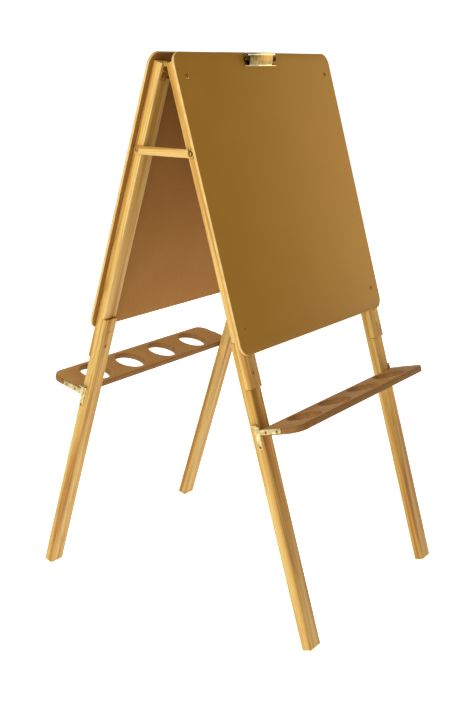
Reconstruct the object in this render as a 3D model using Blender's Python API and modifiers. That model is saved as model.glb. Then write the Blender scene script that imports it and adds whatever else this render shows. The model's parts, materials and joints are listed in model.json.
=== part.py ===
"""Double-sided display easel: two hinged pine frames, each with a painting board and a pot tray.

The easel stands open on the floor.  X runs along the boards, the front board faces -Y, Z is up,
and the origin lies on the floor under the hinge.  Lengths are metres.

Each frame is modelled once, hanging from the hinge axis: "drop" is the distance down the slope
from that axis, and "out" the distance outwards from it, square to the slope.
"""
from math import cos, pi, radians, sin, tan

import bmesh
import bpy
from mathutils import Matrix, Vector

# Stance and clearances
LEAN = radians(16.9)            # slope of each frame from the vertical
GAP = 0.0003                    # clearance between pieces that touch
LEDGE = 0.0002                  # step that keeps joined faces from lying in one plane
HINGE_OFFSET = 0.005            # hinge axis to the inner face of the rails

# Pine rails and legs
TIMBER_WIDTH = 0.039
TIMBER_THICK = 0.022
RAIL_LENGTH = 0.665
LEG_LENGTH = 0.660
TIMBER_ROUND = 0.0012
FRAME_HALF = 0.288              # centre line to the outer side of the rails
RAIL_DROP = 0.0007
LEG_DROP = 0.5664
LEG_OUT = 0.0003                # legs stand proud of the rails, almost to the hinge plane
LAP_OUT = 0.0103                # seam of the lap joint

# Boards
BOARD_WIDTH = 0.600
BOARD_HEIGHT = 0.612
BOARD_THICK = 0.006
BOARD_DROP = -0.0148
BOARD_CORNER = 0.025
BOARD_SCREW_INSET = 0.050

# Pot trays
TRAY_WIDTH = 0.5796
TRAY_DEPTH = 0.095
TRAY_THICK = 0.0135
TRAY_CORNER = 0.028
TRAY_OUT = 0.0240
TRAY_BELOW_PIVOT = 0.0055
TRAY_DROOP = {"front": radians(1.0), "rear": radians(3.0)}     # slack of the brackets
POT_HOLE_DIAMETER = 0.073
POT_HOLE_PITCH = 0.1265
POT_HOLES = 4

# Folding brackets of the trays
STEEL = 0.0015
PIVOT_DROP = 0.7435
PIVOT_OUT = 0.0204
STRAP_IN = 0.0094               # strap edges, inwards and outwards of the rivet
STRAP_OUT = 0.0014
STRAP_LENGTH = 0.0530
FLANGE_IN = 0.0124
FLANGE_OUT = 0.0046
FLANGE_REACH = 0.0107
FLANGE_ABOVE_PIVOT = 0.0045
ARM_HEIGHT = 0.011
ARM_TOP_BELOW_PIVOT = 0.0052
ARM_LENGTH = 0.0555
ARM_ROOT = 0.0042

# Butt hinges at the top
KNUCKLE_RADIUS = 0.0047
LEAF_THICK = 0.0012
LEAF_LENGTH = 0.037
LEAF_WIDTH = 0.030
LEAF_SHOULDER = 0.0055
HINGE_PIN_RADIUS = 0.0029

# Stays that hold the frames apart
STAY_DROP = 0.1824
STAY_HEIGHT = 0.017
STAY_THICK = 0.004
STAY_END = 0.007
STAY_CORNER = 0.008
STUD_RADIUS = 0.0025
SLOT_WIDTH = 0.0064
SLOT_SLANT = radians(24)

# Fasteners
BOLT_DROPS = (0.5974, 0.6334)
BOLT_RADIUS = 0.003
BOLT_HEAD_RADIUS = 0.0055
SCREW_RADIUS = 0.002
SCREW_HEAD_RADIUS = 0.0045
SCREW_LENGTH = 0.021

# Paper clips; heights are above the board's face
CLIP_HALF = 0.0540
CLIP_PIVOT_DROP = 0.0005
CLIP_PIVOT_UP = 0.0060
CLIP_SHEET = 0.0012
CLIP_EAR = 0.0042
CLIP_PIN_RADIUS = 0.0015
CLIP_BASE_DROP = (-0.0040, 0.0105)
JAW_HALF = 0.044
ROLL_HALF = 0.052
ROLL_RADIUS = 0.0035
ROLL_BORE = 0.0025
ROLL_CENTRE = (-0.0094, 0.0088)
LIP_HALF = 0.060
LIP_RADIUS = 0.0012
JAW_LINE = ((-0.0070, 0.0108), (-0.0040, 0.0099), (0.0000, 0.0089), (0.0040, 0.0072), (0.0080, 0.0049),
            (0.0115, 0.0028), (0.0132, 0.0019))
SPRING_RADIUS = 0.0034
SPRING_WIRE = 0.0005
SPRING_TURNS = 3
SPRING_INNER = 0.0455
SPRING_OUTER = 0.0505

RAIL_INNER = HINGE_OFFSET
RAIL_OUTER = HINGE_OFFSET + TIMBER_THICK
LEG_OUTER = LEG_OUT + TIMBER_THICK
RAIL_END = RAIL_DROP + RAIL_LENGTH
LEG_END = LEG_DROP + LEG_LENGTH
TIMBER_CENTRE = FRAME_HALF - TIMBER_WIDTH / 2
BOARD_BACK = RAIL_OUTER + GAP
BOARD_FACE = BOARD_BACK + BOARD_THICK
STAY_OUT = HINGE_OFFSET + TIMBER_THICK / 2
HINGE_HEIGHT = LEG_END * cos(LEAN) - (LEG_OUT + TIMBER_ROUND) * sin(LEAN)
STAY_SPAN = 2 * (STAY_DROP * sin(LEAN) + STAY_OUT * cos(LEAN))
SIDES = ((-1, "left"), (1, "right"))
FACING = {"XY": Matrix.Identity(4),
          "YZ": Matrix(((0, 0, 1, 0), (1, 0, 0, 0), (0, 1, 0, 0), (0, 0, 0, 1))),
          "XZ": Matrix(((1, 0, 0, 0), (0, 0, -1, 0), (0, 1, 0, 0), (0, 0, 0, 1)))}


def clear_scene():
    """Remove every object that the file opened with."""
    for obj in list(bpy.data.objects):
        bpy.data.objects.remove(obj, do_unlink=True)


def new_collection(name):
    collection = bpy.data.collections.new(name)
    bpy.context.scene.collection.children.link(collection)
    return collection


def new_material(name, colour, roughness, metallic=0.0):
    material = bpy.data.materials.new(name)
    material.use_nodes = True
    shader = material.node_tree.nodes["Principled BSDF"]
    shader.inputs["Base Color"].default_value = (*colour, 1.0)
    shader.inputs["Roughness"].default_value = roughness
    shader.inputs["Metallic"].default_value = metallic
    material.diffuse_color = (*colour, 1.0)
    return material


clear_scene()
PARTS = new_collection("display_easel")
CUTTERS = new_collection("cutters")
PINE = new_material("pine", (0.80, 0.55, 0.24), 0.5)
HARDBOARD = new_material("hardboard", (0.27, 0.15, 0.05), 0.45)
TRAY_BOARD = new_material("tray_board", (0.40, 0.20, 0.07), 0.5)
ZINC = new_material("zinc_plate", (0.62, 0.55, 0.38), 0.35, 1.0)
NICKEL = new_material("nickel_plate", (0.62, 0.58, 0.50), 0.2, 1.0)


def local(x, drop, out):
    """Point of a frame in its own axes, which hang from the hinge."""
    return Vector((x, -out, -drop))


def place(obj, location=(0, 0, 0), parent=None, material=None, collection=PARTS):
    """Put a new object in its collection, at its place under its parent."""
    collection.objects.link(obj)
    obj.location = location
    obj.parent = parent
    if material is not None:
        obj.data.materials.append(material)
    return obj


def mesh_object(name, shape):
    """Object holding the bmesh, which is freed."""
    mesh = bpy.data.meshes.new(name)
    bmesh.ops.recalc_face_normals(shape, faces=shape.faces)
    shape.to_mesh(mesh)
    shape.free()
    return bpy.data.objects.new(name, mesh)


def smooth(obj, angle=radians(35)):
    obj.data.shade_smooth()
    obj.data.set_sharp_from_angle(angle=angle)
    return obj


def box(name, low, high):
    """Box between two corners, given in the axes of its parent."""
    low, high = Vector(low), Vector(high)
    size = high - low
    shape = bmesh.new()
    stretch = Matrix.Translation((low + high) / 2) @ Matrix.Diagonal((*size, 1.0))
    bmesh.ops.create_cube(shape, size=1.0, matrix=stretch)
    return mesh_object(name, shape)


def frame_box(name, x_range, drop_range, out_range):
    """Box given by its ranges in x, drop and out."""
    low = (x_range[0], -out_range[1], -drop_range[1])
    high = (x_range[1], -out_range[0], -drop_range[0])
    return box(name, low, high)


def rod(name, radius, x_range, drop, out, segments=20):
    """Cylinder lying along X."""
    shape = bmesh.new()
    turn = Matrix.Rotation(pi / 2, 4, "Y")
    centre = local((x_range[0] + x_range[1]) / 2, drop, out)
    bmesh.ops.create_cone(shape, cap_ends=True, segments=segments, radius1=radius, radius2=radius,
                          depth=x_range[1] - x_range[0], matrix=Matrix.Translation(centre) @ turn)
    return smooth(mesh_object(name, shape))


def arc(centre, radius, start, end, steps):
    """Points of an arc, both ends included."""
    angles = [start + (end - start) * step / steps for step in range(steps + 1)]
    return [(centre[0] + radius * cos(angle), centre[1] + radius * sin(angle)) for angle in angles]


def rounded_outline(corners, steps=6):
    """Closed outline through (x, y, radius) corners, listed anticlockwise."""
    points = []
    for index, (x, y, radius) in enumerate(corners):
        here = Vector((x, y))
        before = (Vector(corners[index - 1][:2]) - here).normalized()
        after = (Vector(corners[(index + 1) % len(corners)][:2]) - here).normalized()
        if radius == 0:
            points.append((x, y))
            continue
        half = before.angle(after) / 2
        centre = here + (before + after).normalized() * radius / sin(half)
        first = here + before * radius / tan(half) - centre
        last = here + after * radius / tan(half) - centre
        turn = last.angle_signed(first)
        start = Vector((1, 0)).angle_signed(first) * -1
        points += arc(centre, radius, start, start + turn, steps)
    return points


def sheet(name, loops, low, high, plane):
    """Flat outline, with any holes, between two levels across its plane."""
    curve = bpy.data.curves.new(name + "_outline", "CURVE")
    curve.dimensions = "2D"
    curve.fill_mode = "BOTH"
    curve.extrude = (high - low) / 2
    for loop in loops:
        spline = curve.splines.new("POLY")
        spline.points.add(len(loop) - 1)
        for point, (x, y) in zip(spline.points, loop):
            point.co = (x, y, 0, 1)
        spline.use_cyclic_u = True
    source = bpy.data.objects.new(name + "_outline", curve)
    CUTTERS.objects.link(source)
    depsgraph = bpy.context.evaluated_depsgraph_get()
    mesh = bpy.data.meshes.new_from_object(source.evaluated_get(depsgraph))
    bpy.data.objects.remove(source, do_unlink=True)
    shape = bmesh.new()
    shape.from_mesh(mesh)
    bmesh.ops.remove_doubles(shape, verts=shape.verts, dist=0.00001)
    bmesh.ops.transform(shape, verts=shape.verts,
                        matrix=FACING[plane] @ Matrix.Translation((0, 0, (low + high) / 2)))
    bpy.data.meshes.remove(mesh)
    return mesh_object(name, shape)


def turned(name, profile, segments=10):
    """Solid of revolution about local Z from (radius, height) points, top to bottom."""
    shape = bmesh.new()
    verts = [shape.verts.new((radius, 0, height)) for radius, height in profile]
    for first, second in zip(verts, verts[1:]):
        shape.edges.new((first, second))
    mesh = bpy.data.meshes.new(name)
    shape.to_mesh(mesh)
    shape.free()
    obj = bpy.data.objects.new(name, mesh)
    screw = obj.modifiers.new("turn", "SCREW")
    screw.axis = "Z"
    screw.angle = 2 * pi
    screw.steps = segments
    screw.render_steps = segments
    screw.use_merge_vertices = True
    screw.merge_threshold = 0.00001
    screw.use_smooth_shade = True
    return obj


def bevel(obj, width, segments=1):
    modifier = obj.modifiers.new("bevel", "BEVEL")
    modifier.width = width
    modifier.segments = segments
    modifier.limit_method = "ANGLE"
    modifier.angle_limit = radians(40)
    return obj


def boolean(obj, tool, operation):
    """Cut or join an object with a tool that stays hidden with the cutters."""
    modifier = obj.modifiers.new(tool.name, "BOOLEAN")
    modifier.operation = operation
    modifier.solver = "EXACT"
    modifier.object = tool


def hide_tool(tool, parent):
    place(tool, tool.location.copy(), parent, collection=CUTTERS)
    tool.hide_render = True
    tool.display_type = "WIRE"
    return tool


def cut(obj, tool):
    boolean(obj, tool, "DIFFERENCE")


def fuse(obj, tool):
    boolean(obj, tool, "UNION")


def new_empty(name, location, parent=None, rotation=(0, 0, 0)):
    empty = bpy.data.objects.new(name, None)
    empty.empty_display_size = 0.02
    return turned_to(place(empty, location, parent), rotation)


def turned_to(obj, rotation):
    obj.rotation_euler = rotation
    return obj


def side_span(side, inner, outer):
    """Range in X between two distances from the centre line, on one side."""
    return tuple(sorted((side * inner, side * outer)))


def bolt_profile(length, grow=0.0):
    """Through bolt with a flush countersunk head at both ends."""
    head = BOLT_HEAD_RADIUS + grow
    shank = BOLT_RADIUS + grow
    end = length / 2 + grow
    cone = head - shank
    return ((0, end), (head, end), (head, end - 0.0005), (shank, end - 0.0005 - cone),
            (shank, -end + 0.0005 + cone), (head, -end + 0.0005), (head, -end), (0, -end))


def screw_profile(grow=0.0):
    """Countersunk wood screw with its head at z = 0."""
    head = SCREW_HEAD_RADIUS + grow
    shank = SCREW_RADIUS + grow
    tip = -SCREW_LENGTH - grow
    return ((0, grow), (head, grow), (head, -0.0004), (shank, -0.0004 - head + shank),
            (shank, tip + 0.004), (0.0006, tip), (0, tip))


def cheese_profile(shank, head, length, height, grow=0.0):
    """Domed screw: head above z = 0 and shank below it."""
    return ((0, height + grow), (0.55 * head, height + grow), (0.9 * head, 0.65 * height),
            (head, 0.15 * height), (head, 0), (shank + grow, 0), (shank + grow, -length - grow),
            (0, -length - grow))


def sunk_hole(obj, name, profile, location, rotation, parent):
    tool = turned_to(turned(name, profile), rotation)
    tool.location = location
    cut(obj, hide_tool(tool, parent))


def make_rails_and_legs(end, frame, mirror):
    """Rails, legs and the bolts of their lap joints; returns the rails."""
    rails = {}
    for side, word in sides_of(mirror):
        span = side_span(side, FRAME_HALF - TIMBER_WIDTH, FRAME_HALF)
        wide = (span[0] - 0.01, span[1] + 0.01)
        rail = frame_box(f"rail_{end}_{word}", span, (RAIL_DROP, RAIL_END), (RAIL_INNER, RAIL_OUTER))
        leg = frame_box(f"leg_{end}_{word}", span, (LEG_DROP, LEG_END), (LEG_OUT, LEG_OUTER))
        for timber in (rail, leg):
            place(timber, parent=frame, material=PINE)
            bevel(timber, TIMBER_ROUND)
        notch = frame_box(f"rail_notch_{end}_{word}", wide, (LEG_DROP - GAP, RAIL_END + 0.01),
                          (RAIL_INNER - 0.01, LAP_OUT + GAP / 2))
        cut(rail, hide_tool(notch, frame))
        notch = frame_box(f"leg_notch_{end}_{word}", wide, (LEG_DROP - 0.01, RAIL_END + GAP),
                          (LAP_OUT - GAP / 2, LEG_OUTER + 0.01))
        cut(leg, hide_tool(notch, frame))
        for drop, height in zip(BOLT_DROPS, ("upper", "lower")):
            make_leg_bolt(f"{end}_{word}_{height}", side * TIMBER_CENTRE, drop, frame, rail, leg)
        rails[side] = rail
    return rails


def make_leg_bolt(label, x, drop, frame, rail, leg):
    length = RAIL_OUTER - LEG_OUT - GAP
    middle = local(x, drop, (RAIL_OUTER + LEG_OUT) / 2)
    across = (pi / 2, 0, 0)
    bolt = turned_to(turned("leg_bolt_" + label, bolt_profile(length)), across)
    place(bolt, middle, frame, ZINC)
    for timber, name in ((rail, "rail"), (leg, "leg")):
        sunk_hole(timber, f"bolt_hole_{name}_{label}", bolt_profile(length, GAP), middle, across, frame)


def sides_of(mirror):
    """Local side and its world name; a frame turned to face the rear swaps them."""
    return [(side * mirror, word) for side, word in SIDES]


def make_board(end, frame, mirror, rails):
    half = BOARD_WIDTH / 2
    top, bottom = -BOARD_DROP, -BOARD_DROP - BOARD_HEIGHT
    corners = ((-half, bottom, BOARD_CORNER), (half, bottom, BOARD_CORNER),
               (half, top, BOARD_CORNER), (-half, top, BOARD_CORNER))
    board = sheet("board_" + end, [rounded_outline(corners, 7)], BOARD_BACK, BOARD_FACE, "XZ")
    place(board, parent=frame, material=HARDBOARD)
    bevel(board, 0.0009)
    for side, word in sides_of(mirror):
        for drop, height in ((BOARD_DROP + BOARD_SCREW_INSET, "top"),
                             (BOARD_DROP + BOARD_HEIGHT - BOARD_SCREW_INSET, "bottom")):
            label = f"{end}_{height}_{word}"
            head = local(side * TIMBER_CENTRE, drop, BOARD_FACE - GAP)
            facing = (pi / 2, 0, 0)
            screw = turned_to(turned("board_screw_" + label, screw_profile()), facing)
            place(screw, head, frame, ZINC)
            for piece, name in ((board, "board"), (rails[side], "rail")):
                sunk_hole(piece, f"screw_hole_{name}_{label}", screw_profile(GAP), head, facing, frame)


def make_hinge_leaf(end, frame, side, word, own, other):
    """Leaf against a rail's inner face, with its own share of the knuckle."""
    centre = side * TIMBER_CENTRE
    half = LEAF_WIDTH / 2
    face = (KNUCKLE_RADIUS - LEDGE - LEAF_THICK, KNUCKLE_RADIUS - LEDGE)
    tongue_face = (face[0] + LEDGE, face[1] - LEDGE)
    leaf = frame_box(f"hinge_leaf_{end}_{word}", (centre - half, centre + half),
                     (LEAF_SHOULDER, LEAF_LENGTH), face)
    place(leaf, parent=frame, material=ZINC)
    for index, (low, high) in enumerate(own):
        span = (centre + low, centre + high)
        tongue = frame_box(f"tongue_{end}_{word}_{index}", span, (0, LEAF_SHOULDER + 0.001),
                           tongue_face)
        fuse(leaf, hide_tool(tongue, frame))
        knuckle = rod(f"knuckle_{end}_{word}_{index}", KNUCKLE_RADIUS, span, 0, 0)
        fuse(leaf, hide_tool(knuckle, frame))
    bore = rod(f"bore_{end}_{word}", HINGE_PIN_RADIUS + GAP, (centre - other, centre + other), 0, 0)
    cut(leaf, hide_tool(bore, frame))
    return leaf


def make_hinges(end, frame, mirror):
    """Two leaves for a frame: the front takes the outer knuckles, the rear the middle one."""
    half, third = LEAF_WIDTH / 2, LEAF_WIDTH / 6
    outer = ((-half, -third - GAP / 2), (third + GAP / 2, half))
    middle = ((-third + GAP / 2, third - GAP / 2),)
    for side, word in sides_of(mirror):
        own = outer if end == "front" else middle
        make_hinge_leaf(end, frame, side, word, own, half + 0.005)
        if end == "front":
            centre = side * TIMBER_CENTRE
            pin = rod(f"hinge_pin_{word}", HINGE_PIN_RADIUS, (centre - half - 0.001, centre + half + 0.001),
                      0, 0, 16)
            place(pin, parent=frame, material=ZINC)


def make_strap(end, frame, side, word):
    """Upright strap on a leg's outer side, bent out at the top into the stop flange."""
    low, high = PIVOT_OUT - STRAP_IN, PIVOT_OUT + STRAP_OUT
    top = PIVOT_DROP - FLANGE_ABOVE_PIVOT - STEEL
    round_end = (high - low) / 2 - 0.0002
    corners = ((-high, -top - STRAP_LENGTH, round_end), (-low, -top - STRAP_LENGTH, round_end),
               (-low, -top, 0), (-high, -top, 0))
    span = side_span(side, FRAME_HALF + GAP, FRAME_HALF + GAP + STEEL)
    strap = sheet(f"bracket_strap_{end}_{word}", [rounded_outline(corners, 5)], *span, "YZ")
    place(strap, parent=frame, material=ZINC)
    reach = side_span(side, FRAME_HALF + GAP + LEDGE, FRAME_HALF + FLANGE_REACH)
    flange = frame_box(f"flange_{end}_{word}", reach, (top - LEDGE, top - LEDGE + STEEL),
                       (PIVOT_OUT - FLANGE_IN, PIVOT_OUT + FLANGE_OUT))
    fuse(strap, hide_tool(flange, frame))
    hole = rod(f"strap_hole_{end}_{word}", 0.0025, side_span(side, FRAME_HALF - 0.01, FRAME_HALF + 0.01),
               PIVOT_DROP, PIVOT_OUT, 16)
    cut(strap, hide_tool(hole, frame))


def make_rivet(end, frame, side, word):
    """Rivet that the tray's arm turns on."""
    length = 2 * STEEL + 2 * GAP
    rivet = turned(f"bracket_rivet_{end}_{word}", cheese_profile(0.0022, 0.0040, length, 0.0016), 12)
    turned_to(rivet, (0, side * pi / 2, 0))
    place(rivet, local(side * (FRAME_HALF + length + GAP), PIVOT_DROP, PIVOT_OUT), frame, ZINC)


def make_arm(end, pivot, side, word):
    """Bracket arm along the tray's end, in the axes of the tray's pivot."""
    top, bottom = -ARM_TOP_BELOW_PIVOT, -ARM_TOP_BELOW_PIVOT - ARM_HEIGHT
    heel = ARM_ROOT - 0.0002
    outline = [(ARM_ROOT, heel), (ARM_ROOT, bottom + 0.002)]
    outline += arc((ARM_ROOT - 0.002, bottom + 0.002), 0.002, 0, -pi / 2, 3)[1:]
    outline += [(-ARM_LENGTH, bottom), (-ARM_LENGTH, top), (-ARM_ROOT, top)]
    outline += arc((0, 0), ARM_ROOT, pi, pi / 2, 7)
    hole = arc((0, 0), 0.0025, 0, 2 * pi, 16)[:-1]
    inner = FRAME_HALF + 2 * GAP + STEEL
    arm = sheet(f"bracket_arm_{end}_{word}", [outline, hole], *side_span(side, inner, inner + STEEL), "YZ")
    place(arm, parent=pivot, material=ZINC)


def make_tray(end, frame, mirror):
    """Pot tray and its two arms, which fold up about the bracket rivets."""
    pivot = new_empty(f"tray_pivot_{end}", local(0, PIVOT_DROP, PIVOT_OUT), frame, (TRAY_DROOP[end], 0, 0))
    half = TRAY_WIDTH / 2
    near = PIVOT_OUT - TRAY_OUT
    far = near - TRAY_DEPTH
    corners = ((-half, far, TRAY_CORNER), (half, far, TRAY_CORNER), (half, near, 0.003), (-half, near, 0.003))
    loops = [rounded_outline(corners, 6)]
    for index in range(POT_HOLES):
        x = (index - (POT_HOLES - 1) / 2) * POT_HOLE_PITCH
        loops.append(arc((x, (near + far) / 2), POT_HOLE_DIAMETER / 2, 0, 2 * pi, 30)[:-1])
    tray = sheet("tray_" + end, loops, -TRAY_BELOW_PIVOT - TRAY_THICK, -TRAY_BELOW_PIVOT, "XY")
    place(tray, parent=pivot, material=TRAY_BOARD)
    for side, word in sides_of(mirror):
        make_strap(end, frame, side, word)
        make_rivet(end, frame, side, word)
        make_arm(end, pivot, side, word)


def side_fastener(name, frame, side, shank, head, rail, material, segments=16):
    """Domed screw through a stay into the outer side of a rail."""
    length = 0.022 + STAY_THICK
    profile = cheese_profile(shank, head, length, 0.0032)
    seat = local(side * (FRAME_HALF + STAY_THICK + 2 * GAP), STAY_DROP, STAY_OUT)
    facing = (0, side * pi / 2, 0)
    screw = turned_to(turned(name, profile, segments), facing)
    place(screw, seat, frame, material)
    hole = rod(name + "_hole", shank + GAP, side_span(side, FRAME_HALF - 0.0224, FRAME_HALF + 0.01),
               STAY_DROP, STAY_OUT, 16)
    cut(rail, hide_tool(hole, frame))


def make_stay(rear, side, word):
    """Level bar hung on the rear frame, slotted at its front end over a stud."""
    pivot = new_empty(f"stay_pivot_{word}", local(side, STAY_DROP, STAY_OUT) * Vector((0, 1, 1)), rear,
                      (LEAN, 0, 0))
    half = STAY_HEIGHT / 2
    near, far = -STAY_END, STAY_SPAN + STAY_END
    corners = ((near, -half, STAY_CORNER), (far, -half, STAY_CORNER), (far, half, STAY_CORNER),
               (near, half, STAY_CORNER))
    hole = arc((0, 0), SCREW_RADIUS + GAP, 0, 2 * pi, 16)[:-1]
    inner = FRAME_HALF + GAP
    stay = sheet(f"stay_{word}", [rounded_outline(corners, 4), hole],
                 *side_span(side, inner, inner + STAY_THICK), "YZ")
    place(stay, parent=pivot, material=PINE)
    bevel(stay, 0.0007)
    wide = side_span(side, FRAME_HALF - 0.01, FRAME_HALF + 0.02)
    slot_radius = SLOT_WIDTH / 2
    tilt = SLOT_SLANT
    centre = (STAY_SPAN, 0)
    outline = arc(centre, slot_radius, pi + tilt, 2 * pi + tilt, 8)
    rise = Vector((-sin(tilt), cos(tilt))) * STAY_HEIGHT
    outline += [(outline[-1][0] + rise.x, outline[-1][1] + rise.y),
                (outline[0][0] + rise.x, outline[0][1] + rise.y)]
    slot = sheet(f"stay_slot_{word}", [outline], *wide, "YZ")
    cut(stay, hide_tool(slot, pivot))


def offset_line(line, distance):
    """Line moved sideways by a distance, to its left as it is drawn."""
    moved = []
    for index, point in enumerate(line):
        before = Vector(line[max(index - 1, 0)])
        after = Vector(line[min(index + 1, len(line) - 1)])
        along = (after - before).normalized()
        moved.append((point[0] - along.y * distance, point[1] + along.x * distance))
    return moved


def make_clip_base(end, frame):
    """Base plate riveted to the board, with an upturned ear at each end."""
    inner, outer = BOARD_FACE + GAP, BOARD_FACE + GAP + CLIP_SHEET
    span = (-CLIP_HALF - CLIP_SHEET + LEDGE, CLIP_HALF + CLIP_SHEET - LEDGE)
    base = frame_box("clip_base_" + end, span, CLIP_BASE_DROP, (inner, outer))
    place(base, parent=frame, material=NICKEL)
    pin_out = BOARD_FACE + CLIP_PIVOT_UP
    ear_low, ear_high = CLIP_PIVOT_DROP - CLIP_EAR, CLIP_PIVOT_DROP + CLIP_EAR
    root, crown = inner + LEDGE, pin_out + CLIP_EAR
    corners = ((-crown, -ear_high, 0.004), (-root, -ear_high, 0), (-root, -ear_low, 0),
               (-crown, -ear_low, 0.004))
    for side, word in SIDES:
        ear = sheet(f"clip_ear_{end}_{word}", [rounded_outline(corners, 4)],
                    *side_span(side, CLIP_HALF, CLIP_HALF + CLIP_SHEET), "YZ")
        fuse(base, hide_tool(ear, frame))
    bore = rod("clip_bore_" + end, CLIP_PIN_RADIUS + GAP, (-CLIP_HALF - 0.005, CLIP_HALF + 0.005),
               CLIP_PIVOT_DROP, pin_out, 12)
    cut(base, hide_tool(bore, frame))
    reach = CLIP_HALF + 2 * CLIP_SHEET
    pin = rod("clip_pin_" + end, CLIP_PIN_RADIUS, (-reach, reach), CLIP_PIVOT_DROP, pin_out, 12)
    place(pin, parent=frame, material=NICKEL)


def make_clip_jaw(end, frame):
    """Sprung jaw: a bent sheet with a hollow roll to press, a solid lip and two lugs on the pin."""
    pivot = new_empty(f"clip_pivot_{end}", local(0, CLIP_PIVOT_DROP, BOARD_FACE + CLIP_PIVOT_UP), frame)
    line = [(CLIP_PIVOT_UP - up, -drop) for drop, up in JAW_LINE]
    outline = offset_line(line, CLIP_SHEET / 2) + offset_line(line, -CLIP_SHEET / 2)[::-1]
    jaw = sheet("clip_jaw_" + end, [outline], -JAW_HALF, JAW_HALF, "YZ")
    place(jaw, parent=pivot, material=NICKEL)
    roll_drop, roll_out = ROLL_CENTRE[0], ROLL_CENTRE[1] - CLIP_PIVOT_UP
    roll = rod("clip_roll_" + end, ROLL_RADIUS, (-ROLL_HALF, ROLL_HALF), roll_drop, roll_out, 16)
    lip = rod("clip_lip_" + end, LIP_RADIUS, (-LIP_HALF, LIP_HALF), -line[-1][1], -line[-1][0], 12)
    for edge in (roll, lip):
        fuse(jaw, hide_tool(edge, pivot))
    corners = ((-0.0017, -0.0026, 0), (0.0026, -0.0026, 0.0025), (0.0026, 0.0026, 0.0025),
               (-0.0033, 0.0026, 0))
    for side, word in SIDES:
        lug = sheet(f"clip_lug_{end}_{word}", [rounded_outline(corners, 4)],
                    *side_span(side, JAW_HALF - CLIP_SHEET - 0.001, JAW_HALF - 0.001), "YZ")
        fuse(jaw, hide_tool(lug, pivot))
    bore = rod("jaw_bore_" + end, CLIP_PIN_RADIUS + GAP, (-JAW_HALF - 0.005, JAW_HALF + 0.005), 0, 0, 12)
    hollow = rod("roll_bore_" + end, ROLL_BORE, (-ROLL_HALF - 0.005, ROLL_HALF + 0.005),
                 roll_drop, roll_out, 16)
    for tool in (bore, hollow):
        cut(jaw, hide_tool(tool, pivot))


def spring_points(steps=6):
    """Wire of a double torsion spring: a coil round each end of the pin, joined by a bridge."""
    half_turns = SPRING_TURNS * 2 + 1
    coil = []
    for step in range(half_turns * steps // 2 + 1):
        share = step / (half_turns * steps // 2)
        angle = pi * half_turns * share
        x = SPRING_OUTER - (SPRING_OUTER - SPRING_INNER) * share
        coil.append((x, -SPRING_RADIUS * cos(angle), SPRING_RADIUS * sin(angle)))
    leg = [(SPRING_OUTER, -SPRING_RADIUS, -0.0045)]
    right = leg + coil
    return right + [(-x, y, z) for x, y, z in reversed(right)]


def make_clip_spring(end, frame):
    """Double torsion spring wound round the clip's pin."""
    centre = local(0, CLIP_PIVOT_DROP, BOARD_FACE + CLIP_PIVOT_UP)
    curve = bpy.data.curves.new("clip_spring_" + end, "CURVE")
    curve.dimensions = "3D"
    curve.bevel_depth = SPRING_WIRE
    curve.bevel_resolution = 1
    curve.use_fill_caps = True
    points = spring_points()
    spline = curve.splines.new("POLY")
    spline.points.add(len(points) - 1)
    for point, position in zip(spline.points, points):
        point.co = (*position, 1)
    place(bpy.data.objects.new("clip_spring_" + end, curve), centre, frame, NICKEL)


def make_frame(end, rotation, mirror):
    """One complete frame, hung from the hinge axis."""
    frame = new_empty(f"frame_{end}", (0, 0, HINGE_HEIGHT), rotation=rotation)
    rails = make_rails_and_legs(end, frame, mirror)
    make_board(end, frame, mirror, rails)
    make_hinges(end, frame, mirror)
    make_tray(end, frame, mirror)
    make_clip_base(end, frame)
    make_clip_jaw(end, frame)
    make_clip_spring(end, frame)
    return frame, rails


def make_stays(front_frame, front_rails, rear_frame, rear_rails):
    """Stays on the rear frame's screws, hooked over the front frame's studs."""
    for side, word in SIDES:
        side_fastener(f"stay_stud_{word}", front_frame, side, STUD_RADIUS, 0.006, front_rails[side], ZINC)
        side_fastener(f"stay_screw_{word}", rear_frame, -side, SCREW_RADIUS, 0.004, rear_rails[-side],
                      ZINC, 12)
        make_stay(rear_frame, -side, word)


def main():
    front_frame, front_rails = make_frame("front", (-LEAN, 0, 0), 1)
    rear_frame, rear_rails = make_frame("rear", (-LEAN, 0, pi), -1)
    make_stays(front_frame, front_rails, rear_frame, rear_rails)
    bpy.context.view_layer.update()


main()
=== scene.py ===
import json
from math import atan2, cos, pi, radians, sin
from random import Random

import bmesh
import bpy
from mathutils import Matrix, Vector


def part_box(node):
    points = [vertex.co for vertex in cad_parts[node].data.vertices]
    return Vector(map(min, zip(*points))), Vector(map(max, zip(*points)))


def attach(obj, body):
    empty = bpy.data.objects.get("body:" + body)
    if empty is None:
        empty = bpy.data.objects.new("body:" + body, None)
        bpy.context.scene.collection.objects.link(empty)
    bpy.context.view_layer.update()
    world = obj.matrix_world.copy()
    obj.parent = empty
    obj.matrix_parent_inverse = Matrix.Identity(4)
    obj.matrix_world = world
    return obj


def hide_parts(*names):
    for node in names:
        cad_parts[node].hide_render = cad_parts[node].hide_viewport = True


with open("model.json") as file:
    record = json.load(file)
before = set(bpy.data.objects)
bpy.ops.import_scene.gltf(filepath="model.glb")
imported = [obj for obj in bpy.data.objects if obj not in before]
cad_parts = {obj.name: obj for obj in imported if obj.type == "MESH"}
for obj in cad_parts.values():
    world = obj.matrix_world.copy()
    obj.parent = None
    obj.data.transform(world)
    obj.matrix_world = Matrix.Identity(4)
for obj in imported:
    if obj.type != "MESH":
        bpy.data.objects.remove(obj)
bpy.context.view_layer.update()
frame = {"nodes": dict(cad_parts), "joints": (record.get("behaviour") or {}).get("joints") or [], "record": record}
print("frame loaded")

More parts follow.
